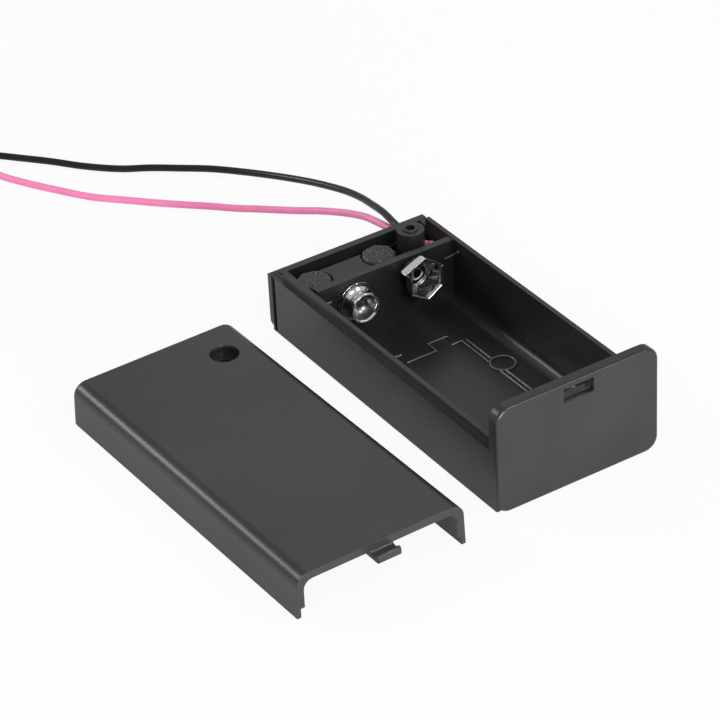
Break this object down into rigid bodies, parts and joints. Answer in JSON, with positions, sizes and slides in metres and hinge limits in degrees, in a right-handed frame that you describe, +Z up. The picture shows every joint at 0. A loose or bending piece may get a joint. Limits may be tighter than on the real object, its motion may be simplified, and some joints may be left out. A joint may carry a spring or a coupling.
{
  "type": "nine volt battery holder",
  "caption": "Open moulded box with a slide switch, two snap terminals on a divider and two loose leads; its lid with a latch tab lies beside it.",
  "frame": {"origin": "centre of the tray's flat underside", "axes": "+Z up, +X along the tray to its upright end plate, +Y across it, away from the lid"},
  "size_m": [0.1738, 0.0774, 0.021],
  "materials": {
    "tray": "black ABS, fine texture",
    "lid": "black ABS, fine texture",
    "male_stud": "bright nickel plate",
    "male_rivet": "bright nickel plate",
    "male_tag": "tinned",
    "female_socket": "bright nickel plate",
    "female_rivet": "bright nickel plate",
    "female_tag": "tinned",
    "switch_retainer": "black, satin",
    "switch_slider": "black",
    "switch_wiper": "phosphor bronze",
    "switch_contact_lead": "plain brass",
    "switch_contact_link": "plain brass",
    "link_wire": "tinned copper",
    "solder_red": "solder",
    "solder_black": "solder",
    "solder_link_switch": "solder",
    "solder_link_tag": "solder",
    "red_lead_inside": "red PVC",
    "black_lead_inside": "black PVC",
    "red_lead": "red PVC",
    "black_lead": "black PVC",
    "red_lead_end": "tinned copper",
    "black_lead_end": "tinned copper",
    "lead_tie": "black plastic"
  },
  "bodies": {
    "holder": {"tray": "tray", "lid": "lid", "male_stud": "male_stud", "male_rivet": "male_rivet", "male_tag": "male_tag", "female_socket": "female_socket", "female_rivet": "female_rivet", "female_tag": "female_tag", "switch_retainer": "switch_retainer", "switch_contact_lead": "switch_contact_lead", "switch_contact_link": "switch_contact_link", "link_wire": "link_wire", "solder_red": "solder_red", "solder_black": "solder_black", "solder_link_switch": "solder_link_switch", "solder_link_tag": "solder_link_tag", "red_lead_inside": "red_lead_inside", "black_lead_inside": "black_lead_inside", "red_lead": "red_lead", "black_lead": "black_lead", "red_lead_end": "red_lead_end", "black_lead_end": "black_lead_end", "lead_tie": "lead_tie"},
    "slider": {"switch_slider": "switch_slider", "switch_wiper": "switch_wiper"}
  },
  "joints": [
    {"name": "switch_slide", "type": "slide", "parent": "holder", "child": "slider", "axis": [0, 1, 0], "range_m": [0, 0.0025]}
  ]
}
